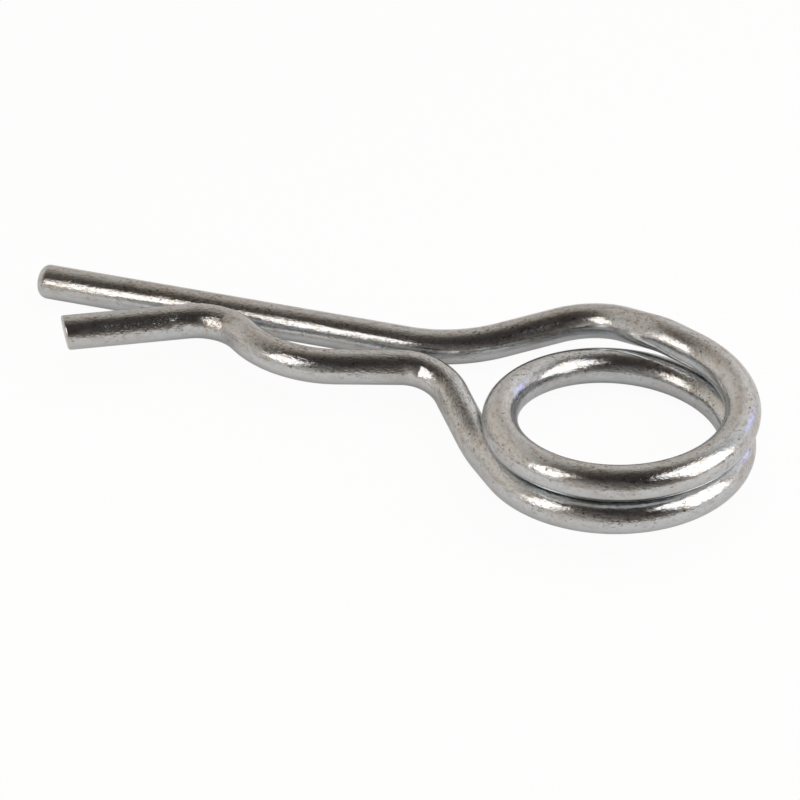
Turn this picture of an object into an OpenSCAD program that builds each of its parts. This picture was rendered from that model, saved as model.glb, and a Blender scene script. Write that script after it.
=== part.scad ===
/* [Wire] */
// Diameter of the wire
wire_d = 4; // [3:0.1:4.6]
// Radius of the rounded rim on the straight leg's end
leg_end_round = 1.1; // [0.2:0.1:1.4]
// Radius of the rounded rim on the wavy leg's sheared end
tip_end_round = 0.3; // [0.1:0.1:1.2]

/* [Coil] */
// Radius of the coil's closed turn, to the middle of the wire
coil_r = 13.2; // [11.5:0.1:15]
// How much wider than the closed turn the coil's two ends spring
coil_spring = 0.5; // [0:0.1:1]
// Angle round the coil where both sprung ends leave the closed turn
spring_from = -50; // [-70:1:-30]
// Clear gap between one turn and the next
turn_gap = 0.2; // [0.1:0.05:0.6]

/* [Straight leg] */
// Distance from the coil's axis to the straight leg's end
leg_reach = 71.9; // [64:0.1:80]
// Length of the straight leg's point, the free end past the crest
point_run = 16.7; // [8:0.1:17]
// Offset of the straight leg from the coil's axis
leg_offset = 10.1; // [9:0.1:11]
// Height of the straight leg against the coil's middle
leg_z = -0.6; // [-1:0.1:0]
// Bend radius of the shoulder beside the coil
shoulder_r = 8.8; // [7:0.1:10]
// Clear gap between the top of the shoulder and the coil
shoulder_gap = 2.6; // [2:0.1:3.5]
// Angle round the coil at which the shoulder stands out furthest
shoulder_at = 129; // [125:1:133]
// Bend radius of the elbow that lines the leg up
elbow_r = 20; // [15:0.5:22]
// Straight run between the shoulder and the elbow
elbow_lead = 6.5; // [4:0.1:9]

/* [Wavy leg] */
// Bend radius of the hump next to the coil
hump_r = 6; // [4.5:0.1:7]
// Distance from the coil's outside to the middle of the hump
hump_run = 9.3; // [9:0.1:11]
// Clear gap between the hump and the straight leg
hump_gap = 1.3; // [0.3:0.1:2.5]
// Bend radius of the seat that holds a shaft
seat_r = 12; // [9:0.1:12.5]
// Straight run between the hump and the seat
seat_lead = 7.1; // [4:0.1:9]
// Clear opening between the seat and the straight leg
seat_gap = 4.6; // [3:0.1:5.2]
// Bend radius of the crest that snaps over a shaft
crest_r = 6; // [4:0.1:6.5]
// Straight run between the seat and the crest
crest_lead = 0.6; // [0.2:0.1:5]
// Clear gap between the crest and the straight leg
crest_gap = 0.1; // [0.05:0.05:1]
// Length of the straight lead-in past the crest
tip_run = 14.2; // [6:0.1:20]
// Angle at which the lead-in flares away from the straight leg
tip_flare = 30; // [15:1:40]
// Angle at which the lead-in's end is cut off askew, longer at the top
tip_cut = 9; // [0:1:25]
// Height of the hump against the coil's middle
hump_z = -0.2; // [-0.6:0.1:0.4]
// Angle at which the wavy leg climbs towards its tip
wavy_climb = 1.4; // [0:0.1:2]

/* [Exits from the coil] */
// Straight run between the coil and the straight leg's first bend
leg_exit = 4; // [3:0.1:6]
// Straight run between the coil and the wavy leg's first bend
wavy_exit = 6.4; // [5:0.1:8]
// Bend radius of the small bends that bring both legs to the middle
exit_r = 12; // [8:0.5:14]

/* [Lie] */
// Angle at which the clip leans over on a flat surface
lie_roll = 10.2; // [0:0.1:14]

/* [Hidden] */
$fn = 64;
steel = "silver";
sides = 20;
bend_step = 7.5;
wire_r = wire_d / 2;
coil_out = coil_r + wire_r;
open_r = coil_r + coil_spring;
slope = (wire_d + turn_gap) / (2 * PI * coil_r);
// The straight leg's point is a true cylinder.  The swept wire slims by a hair
// along this lap, to run on inside it.
lap = 1;
hair = 0.04;

// Unit step along a heading, and the unit step to the right of it
function along(a) = [cos(a), sin(a)];
function right(a) = [sin(a), -cos(a)];
function lift(p, z) = [p.x, p.y, z];
function unit(v) = v / norm(v);
function whole(a) = a < 0 ? a + 360 : a;

// Heading of the line that touches two bends in turn.  A radius is positive
// where the wire turns left and negative where it turns right.
function touching(c1, r1, c2, r2) =
    let (d = c2 - c1)
    whole(atan2(d.y, d.x) + asin((r1 - r2) / norm(d)));

// How far on along the leg an opposite bend lies, from the straight run
// between both bends and from how far its middle lies to the side
function onward(r1, r2, lead, side) = sqrt(pow(r1 + r2, 2) + pow(lead, 2) - pow(side, 2));

// Where the straight lines on both sides of a bend would cross
function corner(c, r, a1, a2) = c + r / cos((a2 - a1) / 2) * right((a1 + a2) / 2);

// Middle of both sprung ends of the coil
coil_open = -coil_spring * along(spring_from);

// The straight leg seen from above, drawn away from the coil
shoulder = (coil_r + wire_d + shoulder_gap - shoulder_r) * along(shoulder_at);
elbow_y = leg_offset + elbow_r;
elbow_x = shoulder.x - onward(shoulder_r, elbow_r, elbow_lead, elbow_y - shoulder.y);
elbow = [elbow_x, elbow_y];
leg_a0 = touching(coil_open, open_r, shoulder, shoulder_r);
leg_a1 = touching(shoulder, shoulder_r, elbow, -elbow_r);

// The wavy leg seen from above, drawn away from the coil
hump = [-coil_out - hump_run, leg_offset - wire_d - hump_gap - hump_r];
seat_y = leg_offset - wire_d - seat_gap + seat_r;
seat = [hump.x - onward(hump_r, seat_r, seat_lead, seat_y - hump.y), seat_y];
function wavy_z(x) = hump_z + tan(wavy_climb) * (hump.x - x);
crest_rise = wavy_z(seat.x - seat_r) - leg_z;
crest_y = leg_offset - sqrt(pow(wire_d + crest_gap, 2) - pow(crest_rise, 2)) - crest_r;
crest = [seat.x - onward(seat_r, crest_r, crest_lead, seat_y - crest_y), crest_y];
wavy_a0 = touching(coil_open, -open_r, hump, hump_r);
wavy_a1 = touching(hump, hump_r, seat, -seat_r);
wavy_a2 = touching(seat, -seat_r, crest, crest_r);
wavy_a3 = 180 + tip_flare;

// The coil: one closed turn between two sprung ends, wound clockwise and down
start_a = leg_a0 - 90;
end_a = wavy_a0 + 90 - 360;
first_turn = start_a - spring_from;
last_turn = spring_from - end_a;
coil_top = slope * PI / 360 * (open_r * (first_turn + last_turn) + coil_r * 360);
function drop(angle, r) = slope * PI / 180 * r * angle;
function downhill(a) = unit(lift(right(a), -slope));

// Corners of the straight leg, from its point back to the coil.  It leaves
// the coil along the coil's slope, then bends to its own height.
leg_start = [leg_end_round + point_run - leg_reach, leg_offset, leg_z];
coil_start = lift(coil_open + open_r * along(start_a), coil_top);
leg_k1 = coil_start - leg_exit * downhill(start_a);
leg_k2 = corner(shoulder, shoulder_r, leg_a0, leg_a1);
leg_k3 = corner(elbow, -elbow_r, leg_a1, 180);
leg_part1 = norm(leg_k2 - [leg_k1.x, leg_k1.y]);
leg_part2 = norm(leg_k3 - leg_k2);
leg_k2_z = leg_k1.z + (leg_z - leg_k1.z) * leg_part1 / (leg_part1 + leg_part2);
leg_corners = [
    leg_start,
    lift(leg_k3, leg_z),
    lift(leg_k2, leg_k2_z),
    leg_k1,
    coil_start
];
leg_radii = [0, elbow_r, shoulder_r, exit_r];

// Corners of the wavy leg, from the coil to its tip
coil_end = lift(coil_open + open_r * along(end_a), -coil_top);
wavy_k2 = corner(hump, hump_r, wavy_a0, wavy_a1);
wavy_k3 = corner(seat, -seat_r, wavy_a1, wavy_a2);
wavy_k4 = corner(crest, crest_r, wavy_a2, wavy_a3);
wavy_tip = wavy_k4 + (crest_r * tan((wavy_a3 - wavy_a2) / 2) + tip_run) * along(wavy_a3);
wavy_corners = [
    coil_end,
    coil_end + wavy_exit * downhill(end_a),
    lift(wavy_k2, wavy_z(wavy_k2.x)),
    lift(wavy_k3, wavy_z(wavy_k3.x)),
    lift(wavy_k4, wavy_z(wavy_k4.x)),
    lift(wavy_tip, wavy_z(wavy_tip.x))
];
wavy_radii = [0, exit_r, hump_r, seat_r, crest_r];

// Stations [point, direction] round a bend between two straight runs
function bend(k, radii, i) =
    let (
        from = unit(k[i] - k[i - 1]),
        to = unit(k[i + 1] - k[i]),
        total = acos(from * to),
        side = unit(to - (to * from) * from),
        middle = k[i] - radii[i] * tan(total / 2) * from + radii[i] * side,
        count = ceil(total / bend_step)
    )
    [
        for (n = [0:count])
            let (t = total * n / count)
            [middle + radii[i] * (sin(t) * from - cos(t) * side), cos(t) * from + sin(t) * side]
    ];

// Stations [point, direction] round a stretch of the coil
function coil_part(middle, r, from, total, z) =
    let (count = ceil(total / bend_step))
    [
        for (n = [1:count])
            let (t = total * n / count)
            [lift(middle + r * along(from - t), z - drop(t, r)), downhill(from - t)]
    ];
spring_z1 = coil_top - drop(first_turn, open_r);
spring_z2 = spring_z1 - drop(360, coil_r);

// The whole bent wire, from the elbow through the coil to the crest
tip_dir = unit(wavy_corners[5] - wavy_corners[4]);
bent_path = concat(
    bend(leg_corners, leg_radii, 1),
    bend(leg_corners, leg_radii, 2),
    bend(leg_corners, leg_radii, 3),
    [[coil_start, downhill(start_a)]],
    coil_part(coil_open, open_r, start_a, first_turn, coil_top),
    coil_part([0, 0], coil_r, spring_from, 360, spring_z1),
    coil_part(coil_open, open_r, spring_from, last_turn, spring_z2),
    bend(wavy_corners, wavy_radii, 1),
    bend(wavy_corners, wavy_radii, 2),
    bend(wavy_corners, wavy_radii, 3),
    bend(wavy_corners, wavy_radii, 4)
);

// Ring of points round the wire at a station.  The last value is the slope of
// a skew cut that leaves the wire's top longer.
function ring(p, d, r, skew) =
    let (
        side = unit(cross(d, [0, 0, 1])),
        up = cross(side, d)
    )
    [
        for (j = [0:sides - 1])
            let (a = 360 * j / sides)
            p + r * (cos(a) * side + sin(a) * up) + r * skew * sin(a) * d
    ];
tip_skew = tan(tip_cut);
tip_rings = [
    for (t = [0:30:90])
        ring(
            wavy_corners[5] - tip_end_round * (1 - sin(t)) * tip_dir,
            tip_dir,
            wire_r - tip_end_round * (1 - cos(t)),
            tip_skew
        )
];
rings = concat(
    [ring(leg_start - [lap / 2, 0, 0], [1, 0, 0], wire_r - hair, 0)],
    [ring(leg_start + [lap / 2, 0, 0], [1, 0, 0], wire_r, 0)],
    [for (s = bent_path) ring(s[0], s[1], wire_r, 0)],
    tip_rings
);

module bent_wire() {
    last = len(rings) - 1;
    polyhedron(
        points = [for (one = rings) each one],
        faces = concat(
            [[for (j = [0:sides - 1]) sides - 1 - j]],
            [
                for (i = [0:last - 1], j = [0:sides - 1])
                    let (
                        k = (j + 1) % sides,
                        a = i * sides,
                        b = a + sides
                    )
                    each [[a + j, b + k, b + j], [a + j, a + k, b + k]]
            ],
            [[for (j = [0:sides - 1]) last * sides + j]]
        ),
        convexity = 10
    );
}

// The straight leg's point, with a rounded rim on its end
module leg_point() {
    rim = leg_end_round;
    translate(leg_start)
        rotate([0, -90, 0]) {
            cylinder(h = point_run, r = wire_r);
            translate([0, 0, point_run])
                rotate_extrude() {
                    square([wire_r - rim, rim]);
                    translate([wire_r - rim, 0])
                        intersection() {
                            circle(rim);
                            square(rim);
                        }
                }
        }
}

module clip_wire() {
    color(steel)
        rotate([-lie_roll, 0, 0]) {
            bent_wire();
            leg_point();
        }
}

clip_wire();
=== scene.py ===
import bpy
import numpy as np
from mathutils import Matrix, Vector


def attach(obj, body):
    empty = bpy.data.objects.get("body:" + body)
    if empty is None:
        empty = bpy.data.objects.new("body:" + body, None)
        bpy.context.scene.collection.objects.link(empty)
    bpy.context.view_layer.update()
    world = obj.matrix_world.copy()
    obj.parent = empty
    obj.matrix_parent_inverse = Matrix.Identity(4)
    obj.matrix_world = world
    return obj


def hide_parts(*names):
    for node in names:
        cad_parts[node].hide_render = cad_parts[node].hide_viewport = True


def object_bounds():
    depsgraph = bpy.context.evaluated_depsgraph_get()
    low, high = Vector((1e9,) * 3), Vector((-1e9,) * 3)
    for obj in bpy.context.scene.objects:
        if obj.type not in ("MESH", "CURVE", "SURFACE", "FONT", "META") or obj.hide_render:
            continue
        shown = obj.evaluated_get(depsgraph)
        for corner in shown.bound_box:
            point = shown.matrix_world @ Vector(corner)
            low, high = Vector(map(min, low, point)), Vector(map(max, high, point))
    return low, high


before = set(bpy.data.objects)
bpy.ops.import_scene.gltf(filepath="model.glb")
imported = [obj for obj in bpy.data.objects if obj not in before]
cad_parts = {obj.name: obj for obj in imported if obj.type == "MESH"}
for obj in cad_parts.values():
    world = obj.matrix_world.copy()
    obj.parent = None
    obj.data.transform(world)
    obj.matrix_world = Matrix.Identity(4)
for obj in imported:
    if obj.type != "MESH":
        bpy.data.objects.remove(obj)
cad_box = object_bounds()

# The camera
# It looks down on the clip from the front right, at the angle of the photograph.  The clip leans
# 10.2 degrees on its three lowest points, and the camera leans with it.
lie_roll = np.radians(10.2)
lean = np.array([
    [1, 0, 0],
    [0, np.cos(lie_roll), np.sin(lie_roll)],
    [0, -np.sin(lie_roll), np.cos(lie_roll)],
])
cam_yaw, cam_dip, cam_roll = np.radians([-15.876, 33.503, 1.122])
cam_place = [0.073916, -0.348418, 0.238292]
focal_px, frame_px, film_width = 3880, 800, 36
look = np.array([np.sin(cam_yaw) * np.cos(cam_dip), np.cos(cam_yaw) * np.cos(cam_dip), -np.sin(cam_dip)])
level = np.array([np.cos(cam_yaw), -np.sin(cam_yaw), 0])
above = np.cross(level, look)
cam_x = lean @ (np.cos(cam_roll) * level + np.sin(cam_roll) * above)
cam_y = lean @ (np.cos(cam_roll) * above - np.sin(cam_roll) * level)
cam_z = -(lean @ look)
cam_data = bpy.data.cameras.new("camera")
cam_data.sensor_width = film_width
cam_data.lens = film_width * focal_px / frame_px
cam_data.clip_start, cam_data.clip_end = 0.01, 20
camera = bpy.data.objects.new("camera", cam_data)
bpy.context.scene.collection.objects.link(camera)
turned = Matrix(np.column_stack([cam_x, cam_y, cam_z]).tolist()).to_4x4()
camera.matrix_world = Matrix.Translation(Vector(lean @ cam_place)) @ turned
bpy.context.scene.camera = camera

# The studio floor
# A wide sheet of white board that the clip lies on.  The camera sees nearly all of it lit up to
# white.  The steel mirrors mostly the bare board, with the soft shadow that the clip throws on it.
floor_z = cad_box[0].z
floor_half = 6.0
camera_share, mirrored_share = 0.95, 0.10
floor_mesh = bpy.data.meshes.new("floor")
floor_mesh.from_pydata(
    [(-floor_half, -floor_half, floor_z), (floor_half, -floor_half, floor_z),
     (floor_half, floor_half, floor_z), (-floor_half, floor_half, floor_z)],
    [], [(0, 1, 2, 3)],
)
floor = bpy.data.objects.new("floor", floor_mesh)
bpy.context.scene.collection.objects.link(floor)
board = bpy.data.materials.new("white_board")
board.use_nodes = True
nodes, links = board.node_tree.nodes, board.node_tree.links
nodes.clear()
matt = nodes.new("ShaderNodeBsdfDiffuse")
matt.inputs["Color"].default_value = (0.76, 0.745, 0.74, 1)
lit = nodes.new("ShaderNodeEmission")
lit.inputs["Color"].default_value = (1, 1, 1, 1)
lit.inputs["Strength"].default_value = 1.0
path = nodes.new("ShaderNodeLightPath")
direct = nodes.new("ShaderNodeMath")
direct.operation = "MULTIPLY"
direct.inputs[1].default_value = camera_share
mirrored = nodes.new("ShaderNodeMath")
mirrored.operation = "MULTIPLY"
mirrored.inputs[1].default_value = mirrored_share
share = nodes.new("ShaderNodeMath")
share.operation = "ADD"
both = nodes.new("ShaderNodeMixShader")
out = nodes.new("ShaderNodeOutputMaterial")
links.new(path.outputs["Is Camera Ray"], direct.inputs[0])
links.new(path.outputs["Is Glossy Ray"], mirrored.inputs[0])
links.new(direct.outputs[0], share.inputs[0])
links.new(mirrored.outputs[0], share.inputs[1])
links.new(share.outputs[0], both.inputs["Fac"])
links.new(matt.outputs[0], both.inputs[1])
links.new(lit.outputs[0], both.inputs[2])
links.new(both.outputs[0], out.inputs["Surface"])
floor_mesh.materials.append(board)

# The studio room
# A dim tent of pale cloth, brightest at the back right, with a dark opening overhead and towards
# the camera and a small blue glow behind the coil.  The steel mirrors it.  The camera alone sees
# plain white there.
world = bpy.data.worlds.new("studio")
bpy.context.scene.world = world
world.use_nodes = True
nodes, links = world.node_tree.nodes, world.node_tree.links
nodes.clear()
where = nodes.new("ShaderNodeTexCoord")


def toward(direction, stops, name):
    """Ramp over the cosine between the ray and a direction: the dot product, from -1 to 1, read
    off the stops, each a cosine and a colour."""
    dot = nodes.new("ShaderNodeVectorMath")
    dot.operation = "DOT_PRODUCT"
    dot.inputs[1].default_value = Vector(direction).normalized()
    links.new(where.outputs["Generated"], dot.inputs[0])
    spread = nodes.new("ShaderNodeMapRange")
    spread.inputs["From Min"].default_value = -1
    links.new(dot.outputs["Value"], spread.inputs["Value"])
    ramp = nodes.new("ShaderNodeValToRGB")
    ramp.name = name
    while len(ramp.color_ramp.elements) < len(stops):
        ramp.color_ramp.elements.new(0.5)
    for stop, (cosine, colour) in zip(ramp.color_ramp.elements, stops):
        stop.position = (cosine + 1) / 2
        stop.color = (*colour, 1)
    links.new(spread.outputs["Result"], ramp.inputs[0])
    return ramp.outputs[0]


opening = toward((0.27, -0.37, 0.889), (
    (-1.0, (0.66, 0.60, 0.55)), (0.10, (0.64, 0.57, 0.51)), (0.30, (0.51, 0.46, 0.41)),
    (0.50, (0.35, 0.31, 0.27)), (0.62, (0.21, 0.18, 0.15)), (0.75, (0.115, 0.095, 0.082)),
    (0.88, (0.072, 0.060, 0.054)), (1.0, (0.048, 0.040, 0.040)),
), "opening")
back_wall = toward((0.47, 0.83, 0.30), ((0.70, (0, 0, 0)), (0.95, (0.33, 0.345, 0.365))), "back_wall")
side_wall = toward((-0.96, 0.20, 0.22), ((0.60, (0, 0, 0)), (0.95, (0.18, 0.17, 0.15))), "side_wall")
front_wall = toward((-0.20, -0.97, 0.14), (
    (0.58, (0, 0, 0)), (0.88, (0.10, 0.095, 0.09)), (0.985, (0.19, 0.18, 0.175)),
), "front_wall")
blue_spot = toward((0.565, 0.807, 0.174), ((0.979, (0, 0, 0)), (0.993, (0.10, 0.14, 0.66))), "blue_spot")
last = opening
for glow in (back_wall, side_wall, front_wall, blue_spot):
    plus = nodes.new("ShaderNodeMix")
    plus.data_type = "RGBA"
    plus.blend_type = "ADD"
    plus.inputs[0].default_value = 1.0
    links.new(last, plus.inputs[6])
    links.new(glow, plus.inputs[7])
    last = plus.outputs[2]
dim = nodes.new("ShaderNodeBackground")
links.new(last, dim.inputs["Color"])
white = nodes.new("ShaderNodeBackground")
white.inputs["Color"].default_value = (1, 1, 1, 1)
path = nodes.new("ShaderNodeLightPath")
either = nodes.new("ShaderNodeMixShader")
out = nodes.new("ShaderNodeOutputWorld")
links.new(path.outputs["Is Camera Ray"], either.inputs["Fac"])
links.new(dim.outputs[0], either.inputs[1])
links.new(white.outputs[0], either.inputs[2])
links.new(either.outputs[0], out.inputs["Surface"])

# The lamps
# Soft boxes close to the clip, as for a photograph of a small thing: a warm one on the front left
# and a larger, less warm one on the right.  A wide one overhead isn't mirrored by the steel, so it
# lights the board alone.
lamp_aim = Vector((-0.01, 0, 0))
for name, place, width, height, level, colour in (
    ("soft_box_left", (-0.078, -0.065, 0.067), 0.054, 0.077, 1.9, (1, 0.92, 0.86)),
    ("soft_box_right", (0.158, 0.002, 0.113), 0.155, 0.204, 2.05, (1, 0.96, 0.93)),
    ("board_light", (0.05, 0.10, 0.60), 0.70, 0.70, 1.5, (1, 0.98, 0.97)),
):
    lamp = bpy.data.lights.new(name, "AREA")
    lamp.shape = "RECTANGLE"
    lamp.size, lamp.size_y = width, height
    lamp.energy = level * np.pi * width * height
    lamp.color = colour
    box = bpy.data.objects.new(name, lamp)
    box.location = place
    box.rotation_mode = "QUATERNION"
    box.rotation_quaternion = (Vector(place) - lamp_aim).to_track_quat("Z", "Y")
    box.visible_camera = False
    box.visible_glossy = name != "board_light"
    bpy.context.scene.collection.objects.link(box)


# The clip
# One length of drawn spring steel wire, bright zinc plated.  It is wound once and a half round a
# mandrel into the coil, and its two ends are bent into the straight leg and the wavy leg.
wire_d = 4.0
wire_r = wire_d / 2
coil_r, coil_spring, spring_from, turn_gap = 13.2, 0.5, np.radians(-50.0), 0.2
leg_reach, leg_offset, leg_z = 71.9, 10.1, -0.6
shoulder_r, shoulder_gap, shoulder_at, elbow_r, elbow_lead = 8.8, 2.6, np.radians(129.0), 20.0, 6.5
hump_r, hump_run, hump_gap, hump_z = 6.0, 9.3, 1.3, -0.2
seat_r, seat_lead, seat_gap = 12.0, 7.1, 4.6
crest_r, crest_lead, crest_gap = 6.0, 0.6, 0.1
tip_run, tip_flare, tip_cut, wavy_climb = 14.2, np.radians(30.0), np.radians(9.0), np.radians(1.4)
leg_exit, wavy_exit, exit_r = 4.0, 6.4, 12.0
leg_end_round, tip_end_round = 1.1, 0.3


def along(a):
    """Unit step in the plane along the heading a."""
    return np.array([np.cos(a), np.sin(a)])


def right(a):
    """Unit step in the plane to the right of the heading a."""
    return np.array([np.sin(a), -np.cos(a)])


def touching(c1, r1, c2, r2):
    """Heading of the line that touches two bends in turn: the heading from middle to middle, plus
    the angle whose sine is the difference of the radii over the distance.  Left bends are positive."""
    d = c2 - c1
    return (np.arctan2(d[1], d[0]) + np.arcsin((r1 - r2) / np.hypot(*d))) % (2 * np.pi)


def corner(c, r, a1, a2):
    """Crossing of the straight lines on both sides of a bend: out from its middle by the radius
    over the cosine of half the turn."""
    return c + r / np.cos((a2 - a1) / 2) * right((a1 + a2) / 2)


def onward(r1, r2, lead, side):
    """How far on an opposite bend lies: the root of both radii squared plus the lead squared, less
    the sideways step squared."""
    return np.sqrt((r1 + r2) ** 2 + lead**2 - side**2)


def unit(v):
    """The vector over its own length."""
    return v / np.linalg.norm(v)


coil_out = coil_r + wire_r
open_r = coil_r + coil_spring
slope = (wire_d + turn_gap) / (2 * np.pi * coil_r)
coil_open = -coil_spring * along(spring_from)
shoulder = (coil_r + wire_d + shoulder_gap - shoulder_r) * along(shoulder_at)
elbow_y = leg_offset + elbow_r
elbow = np.array([shoulder[0] - onward(shoulder_r, elbow_r, elbow_lead, elbow_y - shoulder[1]), elbow_y])
leg_a0 = touching(coil_open, open_r, shoulder, shoulder_r)
leg_a1 = touching(shoulder, shoulder_r, elbow, -elbow_r)
hump = np.array([-coil_out - hump_run, leg_offset - wire_d - hump_gap - hump_r])
seat_y = leg_offset - wire_d - seat_gap + seat_r
seat = np.array([hump[0] - onward(hump_r, seat_r, seat_lead, seat_y - hump[1]), seat_y])


def wavy_z(x):
    """Height of the wavy leg: it climbs evenly from the hump towards its tip."""
    return hump_z + np.tan(wavy_climb) * (hump[0] - x)


crest_rise = wavy_z(seat[0] - seat_r) - leg_z
crest_y = leg_offset - np.sqrt((wire_d + crest_gap) ** 2 - crest_rise**2) - crest_r
crest = np.array([seat[0] - onward(seat_r, crest_r, crest_lead, seat_y - crest_y), crest_y])
wavy_a0 = touching(coil_open, -open_r, hump, hump_r)
wavy_a1 = touching(hump, hump_r, seat, -seat_r)
wavy_a2 = touching(seat, -seat_r, crest, crest_r)
wavy_a3 = np.pi + tip_flare
start_a = leg_a0 - np.pi / 2
end_a = wavy_a0 + np.pi / 2 - 2 * np.pi
first_turn, last_turn = start_a - spring_from, spring_from - end_a
coil_top = slope / 2 * (open_r * (first_turn + last_turn) + coil_r * 2 * np.pi)


def downhill(a):
    """Direction of the coil's wire at the angle a: to the right, and down by the slope."""
    return unit(np.array([*right(a), -slope]))


coil_start = np.array([*(coil_open + open_r * along(start_a)), coil_top])
coil_end = np.array([*(coil_open + open_r * along(end_a)), -coil_top])
leg_k1 = coil_start - leg_exit * downhill(start_a)
leg_k2 = corner(shoulder, shoulder_r, leg_a0, leg_a1)
leg_k3 = corner(elbow, -elbow_r, leg_a1, np.pi)
part_1, part_2 = np.linalg.norm(leg_k2 - leg_k1[:2]), np.linalg.norm(leg_k3 - leg_k2)
leg_k2_z = leg_k1[2] + (leg_z - leg_k1[2]) * part_1 / (part_1 + part_2)
wavy_k = [corner(hump, hump_r, wavy_a0, wavy_a1), corner(seat, -seat_r, wavy_a1, wavy_a2),
          corner(crest, crest_r, wavy_a2, wavy_a3)]
wavy_k.append(wavy_k[2] + (crest_r * np.tan((wavy_a3 - wavy_a2) / 2) + tip_run) * along(wavy_a3))
leg_points = [np.array([-leg_reach, leg_offset, leg_z]), np.array([*leg_k3, leg_z]),
              np.array([*leg_k2, leg_k2_z]), leg_k1, coil_start]
wavy_points = [coil_end, coil_end + wavy_exit * downhill(end_a)]
wavy_points += [np.array([*k, wavy_z(k[0])]) for k in wavy_k]


def straight_run(p, q, step):
    """Stations on the line from p to q, the end left out: place and direction of each."""
    n = max(1, int(np.ceil(np.linalg.norm(q - p) / step)))
    t = np.arange(n)[:, None] / n
    return p + (q - p) * t, np.repeat(unit(q - p)[None], n, 0)


def bent_run(points, radii, step):
    """Stations along straight runs with a round bend at each inner corner: a bend starts the radius
    times the tangent of half its turn before the corner, and follows sine and cosine of the angle."""
    places, headings, here = [], [], points[0]
    for i in range(1, len(points) - 1):
        f, t = unit(points[i] - points[i - 1]), unit(points[i + 1] - points[i])
        turn = np.arccos(f @ t)
        side, take = unit(t - (t @ f) * f), radii[i] * np.tan(turn / 2)
        p, d = straight_run(here, points[i] - take * f, step)
        a = np.arange(int(np.ceil(turn * radii[i] / step)))[:, None]
        a = a / len(a) * turn
        middle = points[i] - take * f + radii[i] * side
        places += [p, middle + radii[i] * (np.sin(a) * f - np.cos(a) * side)]
        headings += [d, np.cos(a) * f + np.sin(a) * side]
        here = points[i] + take * t
    p, d = straight_run(here, points[-1], step)
    return places + [p], headings + [d]


def coil_run(middle, radius, a0, turn, z, step):
    """Stations down a stretch of the coil: round the middle at the radius, falling by the slope."""
    a = np.arange(int(np.ceil(turn * radius / step)))[:, None]
    a = a / len(a) * turn
    ring = np.hstack([np.cos(a0 - a), np.sin(a0 - a)]) * radius + middle
    heads = np.hstack([np.sin(a0 - a), -np.cos(a0 - a), np.full_like(a, -slope)])
    return np.hstack([ring, z - slope * radius * a]), heads / np.linalg.norm(heads, axis=1)[:, None]


fine = 0.22
leg_p, leg_d = bent_run(leg_points, [0, elbow_r, shoulder_r, exit_r], fine)
wavy_p, wavy_d = bent_run(wavy_points, [0, exit_r, hump_r, seat_r, crest_r], fine)
turns = [coil_run(coil_open, open_r, start_a, first_turn, coil_top, fine)]
z_1 = coil_top - slope * open_r * first_turn
turns.append(coil_run(np.zeros(2), coil_r, spring_from, 2 * np.pi, z_1, fine))
turns.append(coil_run(coil_open, open_r, spring_from, last_turn, z_1 - slope * coil_r * 2 * np.pi, fine))
spine = np.vstack(leg_p + [t[0] for t in turns] + wavy_p + [wavy_points[-1][None]])
ahead = np.vstack(leg_d + [t[1] for t in turns] + wavy_d + [wavy_d[-1][-1:]])
run = np.r_[0, np.cumsum(np.linalg.norm(np.diff(spine, axis=0), axis=1))]
wire_len = run[-1]

# Each ring of the wire stands square to the spine.  The rounded rims of both ends are rings that
# close in on the spine, and the wavy leg's end is sheared off askew.  Plain rings keep clear of
# both rims, and the shear slants every ring past its start.
leg_clear, tip_clear, shear_start = 0.02, 1.2, 1.1
rim_steps = np.radians(np.arange(0, 91, 10))
leg_rim = leg_end_round * (1 - np.cos(rim_steps[::-1])), leg_end_round * (1 - np.sin(rim_steps[::-1]))
tip_rim = tip_end_round * (1 - np.cos(rim_steps)), tip_end_round * (1 - np.sin(rim_steps))
keep = (run > leg_end_round + leg_clear) & (run < wire_len - tip_clear)
ring_run = np.r_[leg_rim[1], run[keep], wire_len - tip_rim[1]]
ring_in = np.r_[leg_rim[0], np.zeros(keep.sum()), tip_rim[0]]
ring_spine = np.column_stack([np.interp(ring_run, run, spine[:, i]) for i in range(3)])
ring_ahead = np.column_stack([np.interp(ring_run, run, ahead[:, i]) for i in range(3)])
ring_ahead /= np.linalg.norm(ring_ahead, axis=1)[:, None]
ring_side = np.cross(ring_ahead, [0, 0, 1.0])
ring_side /= np.linalg.norm(ring_side, axis=1)[:, None]
ring_up = np.cross(ring_side, ring_ahead)
around = 64
angle = np.arange(around) * 2 * np.pi / around
cs, sn = np.cos(angle)[None, :, None], np.sin(angle)[None, :, None]
radius = (wire_r - ring_in)[:, None, None] * np.ones((1, around, 1))
skewed = np.where(ring_run > wire_len - shear_start, np.tan(tip_cut), 0)[:, None, None]
grid = ring_spine[:, None] + radius * (cs * ring_side[:, None] + sn * ring_up[:, None])
grid += radius * skewed * sn * ring_ahead[:, None]
straightened = np.concatenate(
    [ring_run[:, None, None] * np.ones((1, around, 1)), radius * cs, radius * sn], 2)


def dent(run, turn, length, width, depth):
    """Depth of a shallow tool mark at each point of the grid: depth times the bell curve of the
    distance along the wire over its length and round the wire over its width."""
    sideways = (np.degrees(angle)[None, :] - turn + 180) % 360 - 180
    ahead = (ring_run[:, None] - run) / length
    return depth * np.exp(-(ahead**2 + (np.radians(sideways) * wire_r / width) ** 2))


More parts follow.
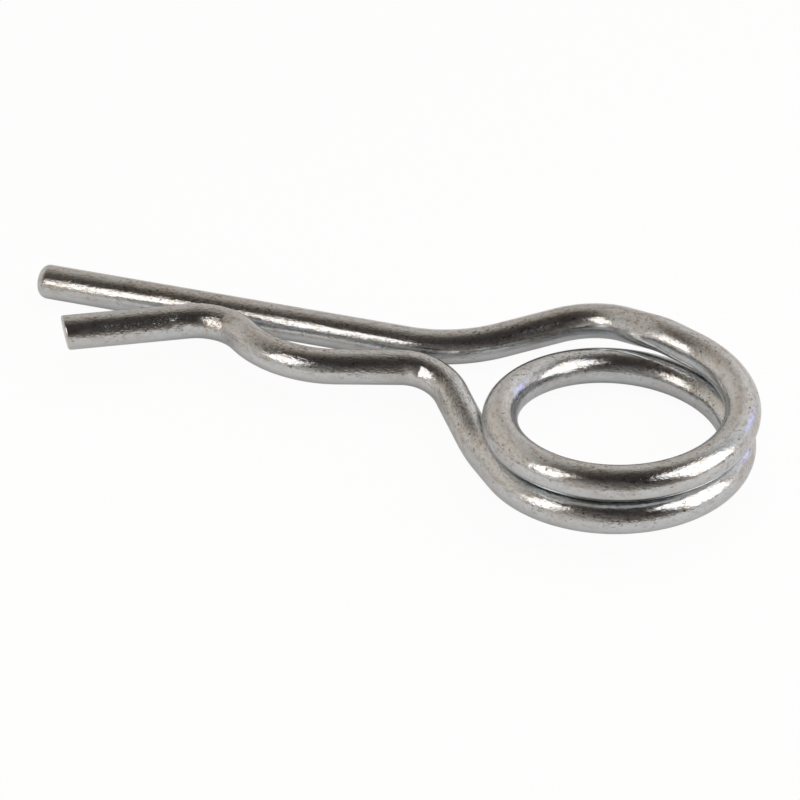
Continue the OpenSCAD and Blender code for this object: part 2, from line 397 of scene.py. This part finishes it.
marks = (
    # distance along the wire, degrees round it, length, width and depth, all in mm but the second
    (263.2, 166, 0.6, 0.9, 0.16), (262.0, 178, 0.5, 0.6, 0.12), (256.3, 152, 0.6, 0.6, 0.10),
    (257.0, 128, 0.5, 0.8, 0.05), (234.0, 160, 0.6, 0.7, 0.12), (232.9, 176, 0.6, 0.8, 0.13),
    (231.8, 150, 0.5, 0.6, 0.10), (229.3, 158, 1.6, 0.40, 0.08), (226.5, 158, 1.8, 0.40, 0.08),
    (231.5, 138, 0.35, 0.35, 0.05), (230.7, 144, 0.35, 0.35, 0.05), (229.8, 133, 0.35, 0.4, 0.05),
    (12.5, 80, 0.5, 0.4, 0.04), (129.7, 96, 0.5, 0.5, 0.06), (246.0, 132, 2.5, 0.20, 0.02),
)
inward = sum(dent(*mark) for mark in marks)[:, :, None]
grid -= inward * (cs * ring_side[:, None] + sn * ring_up[:, None])
rings = len(ring_run)
mm_per_m = 1000
verts = np.vstack([grid.reshape(-1, 3), ring_spine[0], ring_spine[-1]]) @ lean.T / mm_per_m
flat_co = np.vstack([straightened.reshape(-1, 3), [0, 0, 0], [wire_len, 0, 0]])
i, j = np.meshgrid(np.arange(rings - 1), np.arange(around), indexing="ij")
a, b = i * around + j, i * around + (j + 1) % around
quads = np.stack([a, b, b + around, a + around], -1).reshape(-1, 4)
ring_j = np.arange(around)
first_pole, last_pole = rings * around, rings * around + 1
last_ring = (rings - 1) * around
caps = [(int((k + 1) % around), int(k), first_pole) for k in ring_j]
caps += [(last_ring + int(k), last_ring + int((k + 1) % around), last_pole) for k in ring_j]
clip_mesh = bpy.data.meshes.new("clip")
clip_mesh.from_pydata(verts.tolist(), [], quads.tolist() + caps)
clip_mesh.polygons.foreach_set("use_smooth", np.ones(len(clip_mesh.polygons), bool))
laid = clip_mesh.attributes.new("straightened", "FLOAT_VECTOR", "POINT")
laid.data.foreach_set("vector", flat_co.ravel())
clip = bpy.data.objects.new("clip", clip_mesh)
bpy.context.scene.collection.objects.link(clip)
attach(clip, "root")
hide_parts("clip_wire")

# Bright zinc on drawn wire: a hazy mirror with a cloudy tint and an uneven skin that frays what it
# mirrors.  Mottling, brown streaks, crowds of pits, dark specks and a fine grain lie over it, all
# strongest on the upper side of the wire and weakest underneath.
upper_side_from, upper_side_full, underside_share = -0.9, 0.6, 0.12
grain_from, grain_full = 205, 222
uneven_depth, grain_depth = 0.00003, 0.000065
zinc = bpy.data.materials.new("bright_zinc")
zinc.use_nodes = True
nodes, links = zinc.node_tree.nodes, zinc.node_tree.links
nodes.clear()
out = nodes.new("ShaderNodeOutputMaterial")
metal = nodes.new("ShaderNodeBsdfPrincipled")
metal.inputs["Metallic"].default_value = 1.0
links.new(metal.outputs[0], out.inputs["Surface"])
spot = nodes.new("ShaderNodeAttribute")
spot.attribute_name = "straightened"


def pattern(stretch, scale, detail, rough):
    """Noise on the wire as if it were straight: its length squeezed by stretch, then a scale in
    patches per millimetre."""
    squeeze = nodes.new("ShaderNodeMapping")
    squeeze.inputs["Scale"].default_value = (stretch, 1, 1)
    links.new(spot.outputs["Vector"], squeeze.inputs["Vector"])
    noise = nodes.new("ShaderNodeTexNoise")
    noise.inputs["Scale"].default_value = scale
    noise.inputs["Detail"].default_value = detail
    noise.inputs["Roughness"].default_value = rough
    links.new(squeeze.outputs[0], noise.inputs["Vector"])
    return noise.outputs["Fac"]


def between(value, low, high, to_low=0.0, to_high=1.0):
    """The value spread from low..high to to_low..to_high, and held at both ends."""
    spread = nodes.new("ShaderNodeMapRange")
    for name, number in (("From Min", low), ("From Max", high), ("To Min", to_low), ("To Max", to_high)):
        spread.inputs[name].default_value = number
    links.new(value, spread.inputs["Value"])
    return spread.outputs["Result"]


def blended(factor, colour_a, colour_b):
    """Colour a where the factor is 0 and colour b where it is 1."""
    mix = nodes.new("ShaderNodeMix")
    mix.data_type = "RGBA"
    links.new(factor, mix.inputs[0])
    for socket, colour in ((6, colour_a), (7, colour_b)):
        if isinstance(colour, tuple):
            mix.inputs[socket].default_value = (*colour, 1)
        else:
            links.new(colour, mix.inputs[socket])
    return mix.outputs[2]


def only_where(factor, mask):
    """The factor times the mask."""
    times = nodes.new("ShaderNodeMath")
    times.operation = "MULTIPLY"
    links.new(factor, times.inputs[0])
    links.new(mask, times.inputs[1])
    return times.outputs[0]


sides = nodes.new("ShaderNodeSeparateXYZ")
links.new(spot.outputs["Vector"], sides.inputs[0])
# The marks and the fine grain weigh most on the upper side of the wire and least underneath.
upper_side = between(sides.outputs["Z"], upper_side_from, upper_side_full, underside_share, 1.0)
cloudy = pattern(0.4, 0.35, 3, 0.55)
skin = blended(between(cloudy, 0.4, 0.7), (0.59, 0.635, 0.665), (0.55, 0.56, 0.555))
mottle = between(pattern(0.8, 3.2, 3, 0.65), 0.48, 0.72, 0.0, 0.55)
skin = blended(only_where(mottle, upper_side), skin, (0.36, 0.32, 0.28))
streaks = between(pattern(0.4, 1.5, 4, 0.65), 0.51, 0.66, 0.0, 0.6)
skin = blended(only_where(streaks, upper_side), skin, (0.36, 0.305, 0.25))
crowds = between(pattern(0.5, 0.32, 2, 0.5), 0.51, 0.62)
pits = between(pattern(0.8, 2.2, 4, 0.75), 0.55, 0.62, 0.0, 0.8)
skin = blended(only_where(only_where(pits, crowds), upper_side), skin, (0.19, 0.14, 0.10))
specks = between(pattern(0.8, 2.4, 4, 0.72), 0.61, 0.67)
skin = blended(only_where(specks, upper_side), skin, (0.14, 0.10, 0.07))
links.new(skin, metal.inputs["Base Color"])
links.new(between(pattern(0.5, 1.1, 4, 0.6), 0.3, 0.75, 0.10, 0.23), metal.inputs["Roughness"])
uneven = nodes.new("ShaderNodeBump")
uneven.inputs["Distance"].default_value = uneven_depth
uneven.inputs["Strength"].default_value = 1.0
links.new(pattern(0.5, 1.1, 2, 0.5), uneven.inputs["Height"])
grain = nodes.new("ShaderNodeBump")
grain.inputs["Distance"].default_value = grain_depth
patches = between(pattern(0.25, 0.45, 2, 0.5), 0.38, 0.62, 0.3, 0.9)
drawn = between(sides.outputs["X"], grain_from, grain_full, 0.62, 1.0)
links.new(only_where(only_where(patches, drawn), upper_side), grain.inputs["Strength"])
links.new(pattern(0.45, 4.6, 2, 0.6), grain.inputs["Height"])
links.new(uneven.outputs[0], grain.inputs["Normal"])
links.new(grain.outputs[0], metal.inputs["Normal"])
clip_mesh.materials.append(zinc)

bpy.context.scene.view_settings.view_transform = "Standard"
